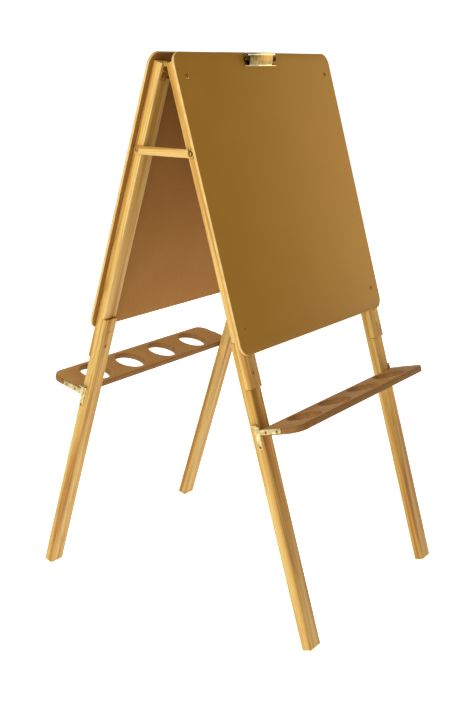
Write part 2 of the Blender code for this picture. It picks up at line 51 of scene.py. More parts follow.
mm = 0.001
ends = {"front": -1, "rear": 1}      # which way each side's board faces along Y
sides = {"left": -1, "right": 1}
joints = {joint["name"]: joint for joint in frame["joints"]}
mounts = {mount["name"]: mount for mount in frame["record"]["mounts"]}
hingePoint = Vector(joints["fold"]["pos_m"])


# ---- places, read from the frame ----

def slopeMatrix(end):
    # from (x, drop down the slope, out from the hinge) to the world
    side = ends[end]
    foot = Vector(mounts[f"{end}_left_foot"]["axis"])
    lean = atan2(abs(foot.y), -foot.z)
    return Matrix(((1, 0, 0, 0),
                   (0, side * sin(lean), side * cos(lean), hingePoint.y),
                   (0, -cos(lean), sin(lean), hingePoint.z),
                   (0, 0, 0, 1)))


def trayMatrix(end):
    # from (x, outwards along the tray, up off the tray), measured from its rivets, to the world
    side = ends[end]
    normal = Vector(mounts[f"{end}_tray_top"]["axis"])
    tilt = atan2(abs(normal.y), normal.z)
    pivot = Vector(joints[f"{end}_tray_fold"]["pos_m"])
    return Matrix(((1, 0, 0, 0),
                   (0, side * cos(tilt), -side * sin(tilt), pivot.y),
                   (0, sin(tilt), cos(tilt), pivot.z),
                   (0, 0, 0, 1)))


def extents(node, matrix):
    # lowest and highest corner of a CAD node in a local frame
    back = matrix.inverted()
    points = [back @ vertex.co for vertex in frame["nodes"][node].data.vertices]
    low = Vector([min(point[axis] for point in points) for axis in range(3)])
    high = Vector([max(point[axis] for point in points) for axis in range(3)])
    return low, high


# ---- small tools ----

def addNode(tree, kind, inputs=(), **settings):
    node = tree.nodes.new(kind)
    for name, value in settings.items():
        setattr(node, name, value)
    for name, value in dict(inputs).items():
        socket = node.inputs[name]
        if isinstance(value, bpy.types.NodeSocket):
            tree.links.new(value, socket)
        else:
            socket.default_value = value
    return node


def linear(hexColour):
    # sRGB hex to a linear colour
    channels = [int(hexColour[place:place + 2], 16) / 255 for place in (1, 3, 5)]
    return (*[c / 12.92 if c <= 0.04045 else ((c + 0.055) / 1.055) ** 2.4 for c in channels], 1)


def colourRamp(tree, factor, stops):
    ramp = addNode(tree, "ShaderNodeValToRGB", {"Fac": factor})
    while len(ramp.color_ramp.elements) < len(stops):
        ramp.color_ramp.elements.new(0.5)
    for element, (position, colour) in zip(ramp.color_ramp.elements, stops):
        element.position = position
        element.color = linear(colour)
    return ramp.outputs["Color"]


def mixColours(tree, factor, first, second, blend="MIX"):
    node = addNode(tree, "ShaderNodeMix", data_type="RGBA", blend_type=blend)
    for socket, value in zip((node.inputs[0], node.inputs[6], node.inputs[7]), (factor, first, second)):
        if isinstance(value, bpy.types.NodeSocket):
            tree.links.new(value, socket)
        else:
            socket.default_value = value
    return node.outputs[2]


def newMaterial(name, **shaderValues):
    material = bpy.data.materials.new(name)
    material.use_nodes = True
    shader = material.node_tree.nodes["Principled BSDF"]
    for socket, value in shaderValues.items():
        shader.inputs[socket.replace("_", " ")].default_value = value
    return material, material.node_tree, shader


def addObject(name, mesh):
    obj = bpy.data.objects.new(name, mesh)
    bpy.context.scene.collection.objects.link(obj)
    return obj


def plainMesh(obj, name=None):
    # the evaluated mesh of an object, which is then removed
    dependencies = bpy.context.evaluated_depsgraph_get()
    mesh = bpy.data.meshes.new_from_object(obj.evaluated_get(dependencies))
    mesh.name = name or obj.name
    bpy.data.objects.remove(obj, do_unlink=True)
    return mesh


def cleanShape(mesh, matrix=None, merge=0.00002):
    shape = bmesh.new()
    shape.from_mesh(mesh)
    bmesh.ops.remove_doubles(shape, verts=shape.verts, dist=merge)
    if matrix is not None:
        bmesh.ops.transform(shape, verts=shape.verts, matrix=matrix)
    bmesh.ops.recalc_face_normals(shape, faces=shape.faces)
    shape.to_mesh(mesh)
    shape.free()
    return mesh


def shadeSmooth(mesh, angle=40):
    mesh.shade_smooth()
    mesh.set_sharp_from_angle(angle=radians(angle))
    return mesh


def arc(centre, radius, start, end, steps):
    turns = [start + (end - start) * step / steps for step in range(steps + 1)]
    return [(centre[0] + radius * cos(turn), centre[1] + radius * sin(turn)) for turn in turns]


def roundedBox(low, high, radii, steps=10):
    # outline of a rectangle, anticlockwise from the lower left, with a radius for each corner
    corners = ((low[0], low[1], pi), (high[0], low[1], 1.5 * pi), (high[0], high[1], 2 * pi),
               (low[0], high[1], 2.5 * pi))
    points = []
    for (x, y, start), radius in zip(corners, radii):
        inward = (radius if x == low[0] else -radius, radius if y == low[1] else -radius)
        centre = (x + inward[0], y + inward[1])
        points += arc(centre, radius, start, start + pi / 2, steps)
    return points


def softSheet(name, loops, thickness, edge, matrix):
    # flat outline with holes, its edges rounded, centred on the outline's plane
    curve = bpy.data.curves.new(name, "CURVE")
    curve.dimensions = "2D"
    curve.fill_mode = "BOTH"
    curve.extrude = thickness / 2 - edge
    curve.bevel_depth = edge
    curve.bevel_resolution = 3
    curve.offset = -edge
    for loop in loops:
        spline = curve.splines.new("POLY")
        spline.points.add(len(loop) - 1)
        for point, (x, y) in zip(spline.points, loop):
            point.co = (x, y, 0, 1)
        spline.use_cyclic_u = True
    mesh = plainMesh(addObject(name, curve))
    return addObject(name, shadeSmooth(cleanShape(mesh, matrix)))


def finishPiece(obj, body, slot, replaced, *materials):
    # with no materials given, the piece keeps the ones that it was made with
    if materials:
        obj.data.materials.clear()
    for material in materials:
        obj.data.materials.append(material)
    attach(obj, body)
    if replaced:
        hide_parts(*replaced)
    return obj


# ---- materials ----

pine = {
    "light": "#CCB476",
    "middle": "#C1A15B",
    "dark": "#A47A34",
    "ring": "#D9B272",
    "fibre": "#E3CB98",
    "bandWidth": 13 * mm,
    "ringSpread": 24 * mm,
    "ringCount": 13,
    "fibreWidth": 0.7 * mm,          # real fibres are finer; these show
    "stretch": 0.03,                 # grain runs nearly straight along a sawn strip
    "roughness": 0.46,
    "varnish": 0.06,
    "varnishRoughness": 0.25,
    "ringStrength": 0.55,
    "fibreStrength": 0.5,
    "fibreLength": 30,               # against the fibre's width
    "bump": 0.12,
    "bumpDepth": 0.2 * mm,
}


def makePine(name, values):
    # radiata pine, planed and varnished: soft golden bands, faint growth rings and fine fibres
    material, tree, shader = newMaterial(name, Roughness=values["roughness"], Specular_IOR_Level=0.35,
                                         Coat_Weight=values["varnish"],
                                         Coat_Roughness=values["varnishRoughness"])
    grain = addNode(tree, "ShaderNodeAttribute", attribute_name="grain").outputs["Vector"]
    slow = addNode(tree, "ShaderNodeMapping", {"Vector": grain, "Scale": (values["stretch"], 1, 1)})
    bands = addNode(tree, "ShaderNodeTexNoise", {"Vector": slow.outputs["Vector"], "Detail": 2.0,
                                                 "Scale": 1 / values["bandWidth"]})
    colour = colourRamp(tree, bands.outputs["Fac"],
                        ((0.32, values["dark"]), (0.48, values["middle"]), (0.64, values["light"])))
    # contour lines of a slow field, which is how a flat-sawn face shows its growth rings
    field = addNode(tree, "ShaderNodeTexNoise", {"Vector": slow.outputs["Vector"], "Detail": 0.0,
                                                 "Scale": 1 / values["ringSpread"]})
    lines = addNode(tree, "ShaderNodeMath", operation="MULTIPLY")
    tree.links.new(field.outputs["Fac"], lines.inputs[0])
    lines.inputs[1].default_value = values["ringCount"]
    phase = addNode(tree, "ShaderNodeMath", operation="FRACT")
    tree.links.new(lines.outputs["Value"], phase.inputs[0])
    rings = colourRamp(tree, phase.outputs["Value"],
                       ((0.0, "#FFFFFF"), (0.55, "#FFFFFF"), (0.9, values["ring"]), (1.0, "#FFFFFF")))
    colour = mixColours(tree, values["ringStrength"], colour, rings, "MULTIPLY")
    thread = 1 / values["fibreWidth"]
    along = thread / values["fibreLength"]
    fine = addNode(tree, "ShaderNodeMapping", {"Vector": grain, "Scale": (along, thread, thread)})
    fibres = addNode(tree, "ShaderNodeTexNoise", {"Vector": fine.outputs["Vector"], "Scale": 1.0,
                                                  "Detail": 3.0})
    streaks = colourRamp(tree, fibres.outputs["Fac"], ((0.3, values["fibre"]), (0.7, "#FFFFFF")))
    colour = mixColours(tree, values["fibreStrength"], colour, streaks, "MULTIPLY")
    tree.links.new(colour, shader.inputs["Base Color"])
    bump = addNode(tree, "ShaderNodeBump", {"Height": fibres.outputs["Fac"],
                                            "Strength": values["bump"],
                                            "Distance": values["bumpDepth"]})
    tree.links.new(bump.outputs["Normal"], shader.inputs["Normal"])
    return material


fibreboard = {
    "speckShade": "#A58A68",
    "bump": 0.25,
    "bumpDepth": 0.05 * mm,
}


def makeBoard(name, pale, deep, roughness, speck, patch=90 * mm, contrast=0.35):
    # pressed wood fibre: an even brown sheet with fine pale and dark fibres lying every way
    material, tree, shader = newMaterial(name, Roughness=roughness, IOR=1.45, Specular_IOR_Level=0.3)
    place = addNode(tree, "ShaderNodeTexCoord").outputs["Object"]
    cloudy = addNode(tree, "ShaderNodeTexNoise", {"Vector": place, "Scale": 1 / patch, "Detail": 2.0})
    colour = colourRamp(tree, cloudy.outputs["Fac"], ((0.3, deep), (0.7, pale)))
    fibres = addNode(tree, "ShaderNodeTexNoise", {"Vector": place, "Scale": 1 / speck, "Detail": 4.0,
                                                  "Roughness": 0.7, "Distortion": 1.5})
    specks = colourRamp(tree, fibres.outputs["Fac"], ((0.35, fibreboard["speckShade"]), (0.62, "#FFFFFF")))
    colour = mixColours(tree, contrast, colour, specks, "MULTIPLY")
    tree.links.new(colour, shader.inputs["Base Color"])
    bump = addNode(tree, "ShaderNodeBump", {"Height": fibres.outputs["Fac"],
                                            "Strength": fibreboard["bump"],
                                            "Distance": fibreboard["bumpDepth"]})
    tree.links.new(bump.outputs["Normal"], shader.inputs["Normal"])
    return material


def makeMetal(name, pale, deep, roughness, patch, metallic=1.0):
    # plated steel: a bright metal whose film clouds from one tint to the other
    material, tree, shader = newMaterial(name, Metallic=metallic)
    place = addNode(tree, "ShaderNodeTexCoord").outputs["Object"]
    cloudy = addNode(tree, "ShaderNodeTexNoise", {"Vector": place, "Scale": 1 / patch, "Detail": 3.0})
    colour = colourRamp(tree, cloudy.outputs["Fac"], ((0.35, deep), (0.65, pale)))
    tree.links.new(colour, shader.inputs["Base Color"])
    rough = addNode(tree, "ShaderNodeMapRange", {"Value": cloudy.outputs["Fac"], "To Min": roughness * 0.75,
                                                 "To Max": roughness * 1.3})
    tree.links.new(rough.outputs["Result"], shader.inputs["Roughness"])
    return material


varnishedPine = makePine("varnished pine", pine)
boardFace = makeBoard("tempered hardboard face", "#9E782C", "#9B752A", 0.42, 0.9 * mm, contrast=0.25)
boardBack = makeBoard("hardboard screen back", "#A27A42", "#9E763E", 0.7, 1.6 * mm, contrast=0.4)
boardEdge = makeBoard("sawn hardboard edge", "#D8BC84", "#C8AA70", 0.6, 0.8 * mm, 20 * mm)
trayFace = makeBoard("lacquered fibreboard", "#C69C60", "#BC9258", 0.5, 1.6 * mm, 60 * mm)
trayEdge = makeBoard("fibreboard routed edge", "#906C3E", "#846038", 0.6, 0.9 * mm, 15 * mm)
yellowZinc = makeMetal("yellow zinc plate", "#D8CB9C", "#A4966A", 0.3, 7 * mm, 0.8)
brass = makeMetal("dull brass plate", "#D8B468", "#A27E38", 0.4, 7 * mm, 0.85)
nickel = makeMetal("bright nickel plate", "#F0E6CE", "#D2C6A6", 0.16, 14 * mm)
# painted reflection: the clip jaw's plate is darkened to stand in for the dark board that it reflects
darkReflectionNickel = makeMetal("aged nickel plate", "#A09468", "#7C6E48", 0.34, 10 * mm)
darkSteel = makeMetal("oxidised spring steel", "#5E4C34", "#3A2E1E", 0.4, 5 * mm)
# painted shade: a dark colour for the screw heads' driver recesses and the gap round each head
paintedShadeMaterial = newMaterial("shadowed driver recess", Base_Color=linear("#2E2414"), Roughness=0.7)[0]
print("materials made")


# ---- pine strips ----

timber = {
    "edge": 1.3 * mm,               # rounded arrises
    "lapTongue": 9.9 * mm,          # thickness of the leg's tongue in the lap joint
    "fit": 0.3 * mm,
    "seed": 0,
    "pith": 16 * mm,                # least distance of the pattern from the tree's centre
    "logLength": 9,                 # range of the random place along the log, in metres
    "logDepth": 12,                 # ranges across it, in millimetres
    "logSide": 14,
}


def markGrain(mesh, matrix, along, seed):
    # every point's place along and across its own strip, for the wood's pattern
    draw = Random(seed)
    shift = Vector((draw.uniform(0, timber["logLength"]),
                    timber["pith"] + draw.uniform(0, timber["logDepth"]) * mm,
                    draw.uniform(-timber["logSide"], timber["logSide"]) * mm))
    back = matrix.inverted()
    order = [along] + [axis for axis in range(3) if axis != along]
    marks = mesh.attributes.new("grain", "FLOAT_VECTOR", "POINT")
    centre = sum((back @ vertex.co for vertex in mesh.vertices), Vector()) / len(mesh.vertices)
    for vertex, mark in zip(mesh.vertices, marks.data):
        point = back @ vertex.co - centre
        mark.vector = Vector([point[axis] for axis in order]) + shift


def stripMesh(name, profile, xRange, matrix, edge=timber["edge"]):
    # a (drop, out) profile drawn across the strip's width, with all its edges rounded
    shape = bmesh.new()
    first = [shape.verts.new((xRange[0], drop, out)) for drop, out in profile]
    face = shape.faces.new(first)
    moved = bmesh.ops.extrude_face_region(shape, geom=[face])["geom"]
    verts = [item for item in moved if isinstance(item, bmesh.types.BMVert)]
    bmesh.ops.translate(shape, verts=verts, vec=(xRange[1] - xRange[0], 0, 0))
    mesh = bpy.data.meshes.new(name)
    shape.to_mesh(mesh)
    shape.free()
    obj = addObject(name, cleanShape(mesh, matrix))
    bevel = obj.modifiers.new("arris", "BEVEL")
    bevel.width = edge
    bevel.segments = 3
    bevel.limit_method = "ANGLE"
    return shadeSmooth(plainMesh(obj, name))


def makeTimber(end, word, seed):
    matrix = slopeMatrix(end)
    body = f"{end}_frame"
    railLow, railHigh = extents(f"rail_{end}_{word}", matrix)
    legLow, legHigh = extents(f"leg_{end}_{word}", matrix)
    xRange = (railLow.x, railHigh.x)
    seam = legLow.z + timber["lapTongue"]
    shoulder = legLow.y - timber["fit"]
    rail = [(railLow.y, railLow.z), (shoulder, railLow.z), (shoulder, seam + timber["fit"]),
            (railHigh.y, seam + timber["fit"]), (railHigh.y, railHigh.z), (railLow.y, railHigh.z)]
    leg = [(legLow.y, legLow.z), (legHigh.y, legLow.z), (legHigh.y, legHigh.z),
           (railHigh.y + timber["fit"], legHigh.z), (railHigh.y + timber["fit"], seam), (legLow.y, seam)]
    for kind, profile in (("rail", rail), ("leg", leg)):
        node = f"{kind}_{end}_{word}"
        mesh = stripMesh("pine_" + node, profile, xRange, matrix)
        markGrain(mesh, matrix, 1, seed + len(kind))
        finishPiece(addObject("pine_" + node, mesh), body, "pine", [node], varnishedPine)


for index, (end, word) in enumerate([(end, word) for end in ends for word in sides]):
    makeTimber(end, word, timber["seed"] + 10 * index)
print("rails and legs made")


# ---- stays ----

stay = {
    "corner": 8 * mm,
    "edge": 0.6 * mm,
    "slotWidth": 6.4 * mm,
    "slotSlant": radians(24),       # the way the stud leaves as the easel folds
    "seed": 50,
}


def makeStay(word, seed):
    node = f"stay_{word}"
    low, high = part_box(node)
    stud = [sum(pair) / 2 for pair in zip(*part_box(f"stay_stud_{word}"))]
    # the outline runs in (y, z) from the rear end to the front end
    front = (stud[1], stud[2])
    bottom, top = low[2], high[2]
    slot = stay["slotWidth"] / 2
    slant = stay["slotSlant"]
    lean = Vector((sin(slant), cos(slant)))      # up the slot, towards the rear
    across = Vector((lean.y, -lean.x)) * slot
    rise = (top - front[1]) / lean.y
    foot = Vector(front)

    def rim(point, extra):
        return tuple(point + lean * (rise + extra))

    shift = across.y / lean.y
    outline = arc((high[1] - stay["corner"], bottom + stay["corner"]), stay["corner"], -pi / 2, 0, 6)
    outline += arc((high[1] - stay["corner"], top - stay["corner"]), stay["corner"], 0, pi / 2, 6)
    outline.append(rim(foot + across, -shift))
    start = atan2(across.y, across.x)
    outline += arc(front, slot, start, start - pi, 10)
    outline.append(rim(foot - across, shift))
    outline += arc((low[1] + stay["corner"], top - stay["corner"]), stay["corner"], pi / 2, pi, 6)
    outline += arc((low[1] + stay["corner"], bottom + stay["corner"]), stay["corner"], pi, 1.5 * pi, 6)
    mesh = stripMesh("pine_" + node, outline, (low[0], high[0]), Matrix.Identity(4), stay["edge"])
    obj = addObject("pine_" + node, mesh)
    markGrain(obj.data, Matrix.Identity(4), 1, seed)
    finishPiece(obj, node, "pine", [node], varnishedPine)


for index, word in enumerate(sides):
    makeStay(word, stay["seed"] + index)
print("stays made")


# ---- boards ----

board = {"corner": 25 * mm, "edge": 1.1 * mm, "cornerSteps": 14}


def sortFaces(obj, outward, limit=0.9):
    # 0 on the side that faces outward, 1 on the other side, 2 on the edges
    for face in obj.data.polygons:
        level = face.normal.dot(outward)
        face.material_index = 0 if level > limit else 1 if level < -limit else 2


def makeBoardPiece(end):
    matrix = slopeMatrix(end)
    low, high = extents(f"board_{end}", matrix)
    middle = Matrix.Translation((0, 0, (low.z + high.z) / 2))
    outline = roundedBox(low, high, [board["corner"]] * 4, board["cornerSteps"])
    obj = softSheet(f"hardboard_{end}", [outline], high.z - low.z, board["edge"], matrix @ middle)
    finishPiece(obj, f"{end}_frame", "hardboard", [f"board_{end}"], boardFace, boardBack, boardEdge)
    sortFaces(obj, matrix.to_3x3() @ Vector((0, 0, 1)))


for end in ends:
    makeBoardPiece(end)
print("boards made")


# ---- pot trays ----

tray = {
    "outerCorner": 28 * mm,
    "innerCorner": 3 * mm,
    "edge": 1.6 * mm,
    "holeRadius": 36.5 * mm,
    "holePitch": 126.5 * mm,
    "holes": 4,
    "holeSteps": 72,
}


def makeTray(end):
    matrix = trayMatrix(end)
    low, high = extents(f"tray_{end}", matrix)
    radii = [tray["innerCorner"]] * 2 + [tray["outerCorner"]] * 2
    loops = [roundedBox(low, high, radii)]
    for index in range(tray["holes"]):
        x = (index - (tray["holes"] - 1) / 2) * tray["holePitch"]
        loops.append(arc((x, (low.y + high.y) / 2), tray["holeRadius"], 0, 2 * pi,
                         tray["holeSteps"])[:-1])
    middle = Matrix.Translation((0, 0, (low.z + high.z) / 2))
    obj = softSheet(f"fibreboard_tray_{end}", loops, high.z - low.z, tray["edge"], matrix @ middle)
    finishPiece(obj, f"{end}_tray", "tray_board", [f"tray_{end}"], trayFace, trayFace, trayEdge)
    sortFaces(obj, matrix.to_3x3() @ Vector((0, 0, 1)))


for end in ends:
    makeTray(end)
print("trays made")


# ---- pressed steel ----

steel = {"edge": 0.25 * mm, "flat": radians(1.0), "turn": radians(40)}
# rollFrom and lipFrom set where the jaw's painted highlight begins
clip = {"rollFrom": 6.2 * mm, "lipFrom": 12.0 * mm}        # along the jaw, either way from its pin


def paintedHighlightEnds(mesh, node):
    # painted highlight: the jaw's roll and lip take the bright second material, standing in for the light they
    # catch
    end = "front" if "front" in node else "rear"
    back = slopeMatrix(end).inverted()
    pin = (back @ Vector(joints[f"{end}_clip_open"]["pos_m"])).y
    for face in mesh.polygons:
        along = (back @ face.center).y - pin
        face.material_index = 1 if along < -clip["rollFrom"] or along > clip["lipFrom"] else 0


def softenedCopy(node, body, slot, edge, *materials):
    # the CAD piece with its flats joined and its edges eased
    mesh = frame["nodes"][node].data.copy()
    shape = bmesh.new()
    shape.from_mesh(mesh)
    bmesh.ops.remove_doubles(shape, verts=shape.verts, dist=0.00001)
    bmesh.ops.dissolve_limit(shape, angle_limit=steel["flat"], verts=shape.verts, edges=shape.edges)
    shape.to_mesh(mesh)
    shape.free()
    obj = addObject("eased_" + node, mesh)
    bevel = obj.modifiers.new("ease", "BEVEL")
    bevel.width = edge
    bevel.segments = 2
    bevel.limit_method = "ANGLE"
    bevel.angle_limit = steel["turn"]
    eased = addObject("plated_" + node, shadeSmooth(plainMesh(obj, "plated_" + node), 35))
    eased.data.materials.clear()
    for material in materials:
        eased.data.materials.append(material)
    if len(materials) > 1:
        paintedHighlightEnds(eased.data, node)
    finishPiece(eased, body, slot, [node])


for end in ends:
    for word in sides:
        softenedCopy(f"bracket_strap_{end}_{word}", f"{end}_frame", "zinc_plate", steel["edge"], yellowZinc)
        softenedCopy(f"bracket_arm_{end}_{word}", f"{end}_tray", "zinc_plate", steel["edge"], yellowZinc)
        softenedCopy(f"hinge_leaf_{end}_{word}", f"{end}_frame", "zinc_plate", steel["edge"], brass)
    softenedCopy(f"clip_base_{end}", f"{end}_frame", "nickel_plate", steel["edge"], darkSteel)
    # painted reflection and highlight: the jaw's plate takes the darkened nickel, and its roll and lip take the
    # bright nickel
    softenedCopy(f"clip_jaw_{end}", f"{end}_clip_jaw", "nickel_plate", steel["edge"], darkReflectionNickel, nickel)
finishes = {"hinge_pin": brass, "bracket_rivet": yellowZinc, "clip_pin": nickel, "clip_spring": darkSteel}
for node, obj in frame["nodes"].items():
    for start, metal in finishes.items():
        if node.startswith(start):
            for place in obj.material_slots:
                place.material = metal
            obj.data.shade_smooth()
print("brackets, hinges and clips made")


# ---- screws, set out by geometry nodes ----

screws = {
    "boardHead": 10.0 * mm,
    "legHead": 8.2 * mm,
    "stayHead": 8.5 * mm,
    "studHead": 10.5 * mm,
    "smallHead": 6.8 * mm,          # on the hinges and brackets
    "seat": 0.7 * mm,               # the stays' heads stand this far off the wood
    "cross": (0.66, 0.15),          # arm length and width; these are against the head's width
    "wideCross": (0.84, 0.22),
    "slot": (0.9, 0.15),
    "dome": 0.17,
    "flat": 0.025,
    "slotDome": 0.26,
    "brim": 0.008,                  # height of the head's edge
    "recessDepth": 0.13,
    "recessFloor": 0.014,           # lowest floor, which the flat heads reach
    # painted shadow: the ring out to rim, and faces past gapFrom or under shadeLine in the recess, take the dark
    # painted shade
    "rim": 0.56,                    # outside of the dark gap round the head
    "rimHeight": (0.006, -0.04),
    "shank": 0.2,
    "shankHeight": (-0.1, -0.45),
    "domeSteps": 8,
    "turnSteps": 24,
    "twistSeed": 3,
    "gapFrom": 0.505,
    "recessReach": 0.45,
    "shadeLine": 0.004,             # faces under this height over the bare dome are recess
}


def headProfile(dome):
    # radius and height of a domed head one unit across, from the crown to the shank's foot
    steps = screws["domeSteps"]
    turns = [pi / 2 * step / steps for step in range(steps + 1)]
    rows = [(0.5 * sin(turn), dome * cos(turn) + screws["brim"]) for turn in turns]
    rows += [(screws["rim"], height) for height in screws["rimHeight"]]
    rows += [(screws["shank"], height) for height in screws["shankHeight"]]
    return rows + [(0, screws["shankHeight"][1])]


def markShaded(mesh, dome):
    # painted shade: the driver's recess and the gap round the head are marked to take a dark colour standing in
    # for their shade
    shaded = mesh.attributes.new("shaded", "BOOLEAN", "FACE")
    for face, mark in zip(mesh.polygons, shaded.data):
        reach = face.center.xy.length
        surface = dome * max(0, 1 - 4 * reach * reach) ** 0.5
        recessed = reach < screws["recessReach"] and face.center.z < surface + screws["shadeLine"]
        mark.value = reach > screws["gapFrom"] or recessed


def headObject(name, dome, slots, recess):
    # turned head one unit across, with its driver recess cut by crossed blades
    mesh = bpy.data.meshes.new(name)
    shape = bmesh.new()
    verts = [shape.verts.new((radius, 0, height)) for radius, height in headProfile(dome)]
    edges = [shape.edges.new(pair) for pair in zip(verts, verts[1:])]
    bmesh.ops.spin(shape, geom=verts + edges, cent=(0, 0, 0), axis=(0, 0, 1), angle=2 * pi,
                   steps=screws["turnSteps"])
    bmesh.ops.remove_doubles(shape, verts=shape.verts, dist=0.0001)
    bmesh.ops.recalc_face_normals(shape, faces=shape.faces)
    shape.to_mesh(mesh)
    shape.free()
    head = addObject(name, mesh)
    floor = max(screws["recessFloor"], dome - screws["recessDepth"])
    tall = 0.5
    blades = []
    for turn in range(slots):
        blade = bmesh.new()
        size = Matrix.Diagonal((*recess, tall, 1))
        spin = Matrix.Rotation(turn * pi / 2, 4, "Z")
        lift = Matrix.Translation((0, 0, floor + tall / 2))
        bmesh.ops.create_cube(blade, size=1, matrix=lift @ spin @ size)
        bladeMesh = bpy.data.meshes.new("blade")
        blade.to_mesh(bladeMesh)
        blade.free()
        blades.append(addObject("blade", bladeMesh))
        cutter = head.modifiers.new("recess", "BOOLEAN")
        cutter.operation = "DIFFERENCE"
        cutter.solver = "EXACT"
        cutter.object = blades[-1]
    cutMesh = shadeSmooth(plainMesh(head, name), 30)
    markShaded(cutMesh, dome)
    cutMesh.materials.append(brass)
    for blade in blades:
        bpy.data.objects.remove(blade, do_unlink=True)
    return addObject(name + "_cut", cutMesh)


def screwTree(name):
    tree = bpy.data.node_groups.new(name, "GeometryNodeTree")
    interface = tree.interface
    interface.new_socket("Geometry", in_out="INPUT", socket_type="NodeSocketGeometry")
    interface.new_socket("Head", in_out="INPUT", socket_type="NodeSocketObject")
    interface.new_socket("Diameter", in_out="INPUT", socket_type="NodeSocketFloat")
    interface.new_socket("Finish", in_out="INPUT", socket_type="NodeSocketMaterial")
    interface.new_socket("Recess", in_out="INPUT", socket_type="NodeSocketMaterial")
    interface.new_socket("Geometry", in_out="OUTPUT", socket_type="NodeSocketGeometry")
    given = addNode(tree, "NodeGroupInput").outputs
    facing = addNode(tree, "GeometryNodeInputNamedAttribute", {"Name": "facing"}, data_type="FLOAT_VECTOR")
    twist = addNode(tree, "FunctionNodeRandomValue", {"Seed": screws["twistSeed"]},
                    data_type="FLOAT")
    twist.inputs[3].default_value = pi         # the node's highest value
    turned = addNode(tree, "FunctionNodeAlignRotationToVector", {"Vector": facing.outputs[0]}, axis="Z")
    spun = addNode(tree, "ShaderNodeCombineXYZ", {"Z": twist.outputs[1]})
    spin = addNode(tree, "FunctionNodeEulerToRotation", {"Euler": spun.outputs["Vector"]})
    both = addNode(tree, "FunctionNodeRotateRotation",
                   {"Rotation": turned.outputs[0], "Rotate By": spin.outputs[0]}, rotation_space="LOCAL")
    head = addNode(tree, "GeometryNodeObjectInfo", {"Object": given["Head"]})
    copies = addNode(tree, "GeometryNodeInstanceOnPoints",
                     {"Points": given["Geometry"], "Instance": head.outputs["Geometry"],
                      "Rotation": both.outputs[0], "Scale": given["Diameter"]})
    real = addNode(tree, "GeometryNodeRealizeInstances", {"Geometry": copies.outputs["Instances"]})
    finish = addNode(tree, "GeometryNodeSetMaterial",
                     {"Geometry": real.outputs["Geometry"], "Material": given["Finish"]})
    # painted shade: faces marked shaded take the dark colour that stands in for shade in the recess and round the
    # head
    shaded = addNode(tree, "GeometryNodeInputNamedAttribute", {"Name": "shaded"}, data_type="BOOLEAN")
    shadePainted = addNode(tree, "GeometryNodeSetMaterial",
                     {"Geometry": finish.outputs["Geometry"], "Selection": shaded.outputs[0],
                      "Material": given["Recess"]})
    addNode(tree, "NodeGroupOutput", {"Geometry": shadePainted.outputs["Geometry"]})
    return tree


def setScrews(name, body, places, head, size, finish, slot, replaced=()):
    # places are (point, direction the head faces)
    mesh = bpy.data.meshes.new(name)
    mesh.from_pydata([tuple(point) for point, _ in places], [], [])
    facing = mesh.attributes.new("facing", "FLOAT_VECTOR", "POINT")
    for mark, (_, direction) in zip(facing.data, places):
        mark.vector = direction
    obj = addObject(name, mesh)
    modifier = obj.modifiers.new("heads", "NODES")
    modifier.node_group = screwsGroup
    sockets = {item.name: item.identifier for item in screwsGroup.interface.items_tree
               if item.in_out == "INPUT"}
    modifier[sockets["Head"]] = head
    modifier[sockets["Diameter"]] = size
    modifier[sockets["Finish"]] = finish
    modifier[sockets["Recess"]] = paintedShadeMaterial
    made = addObject(name + "_set", plainMesh(obj, name))
    finishPiece(made, body, slot, list(replaced))


screwsGroup = screwTree("screwHeads")
crossHead = headObject("crossHead", screws["dome"], 2, screws["cross"])
flatHead = headObject("flatHead", screws["flat"], 2, screws["wideCross"])
slotHead = headObject("slotHead", screws["slotDome"], 1, screws["slot"])


def placeScrews(end):
    matrix = slopeMatrix(end)
    outward = matrix.to_3x3() @ Vector((0, 0, 1))
    body = f"{end}_frame"
    boardTop = extents(f"board_{end}", matrix)[1].z
    names, points = [], []
    for word in sides:
        for height in ("top", "bottom"):
            node = f"board_screw_{end}_{height}_{word}"
            low, high = extents(node, matrix)
            spot = Vector(((low.x + high.x) / 2, (low.y + high.y) / 2, boardTop))
            points.append((matrix @ spot, outward))
            names.append(node)
    setScrews(f"board_screws_{end}", body, points, crossHead, screws["boardHead"], brass,
              "zinc_plate", names)
    names, points = [], []
    for word in sides:
        railTop = extents(f"rail_{end}_{word}", matrix)[1].z
        legBottom = extents(f"leg_{end}_{word}", matrix)[0].z
        for height in ("upper", "lower"):
            node = f"leg_bolt_{end}_{word}_{height}"
            low, high = extents(node, matrix)
            x, drop = (low.x + high.x) / 2, (low.y + high.y) / 2
            points.append((matrix @ Vector((x, drop, railTop)), outward))
            points.append((matrix @ Vector((x, drop, legBottom)), -outward))
            names.append(node)
    setScrews(f"leg_screws_{end}", body, points, flatHead, screws["legHead"], brass,
              "zinc_plate", names)


hingeScrew = {"rows": (0.40, 0.80), "spread": 8 * mm, "proud": 0.2 * mm}
bracketScrew = {
    "armPlaces": (19.6 * mm, 46.6 * mm),
    "armSink": 0.1 * mm,
    "strapFromEnd": 4.5 * mm,
    "strapProud": 1.4 * mm,
    "strapInward": 4 * mm,
}


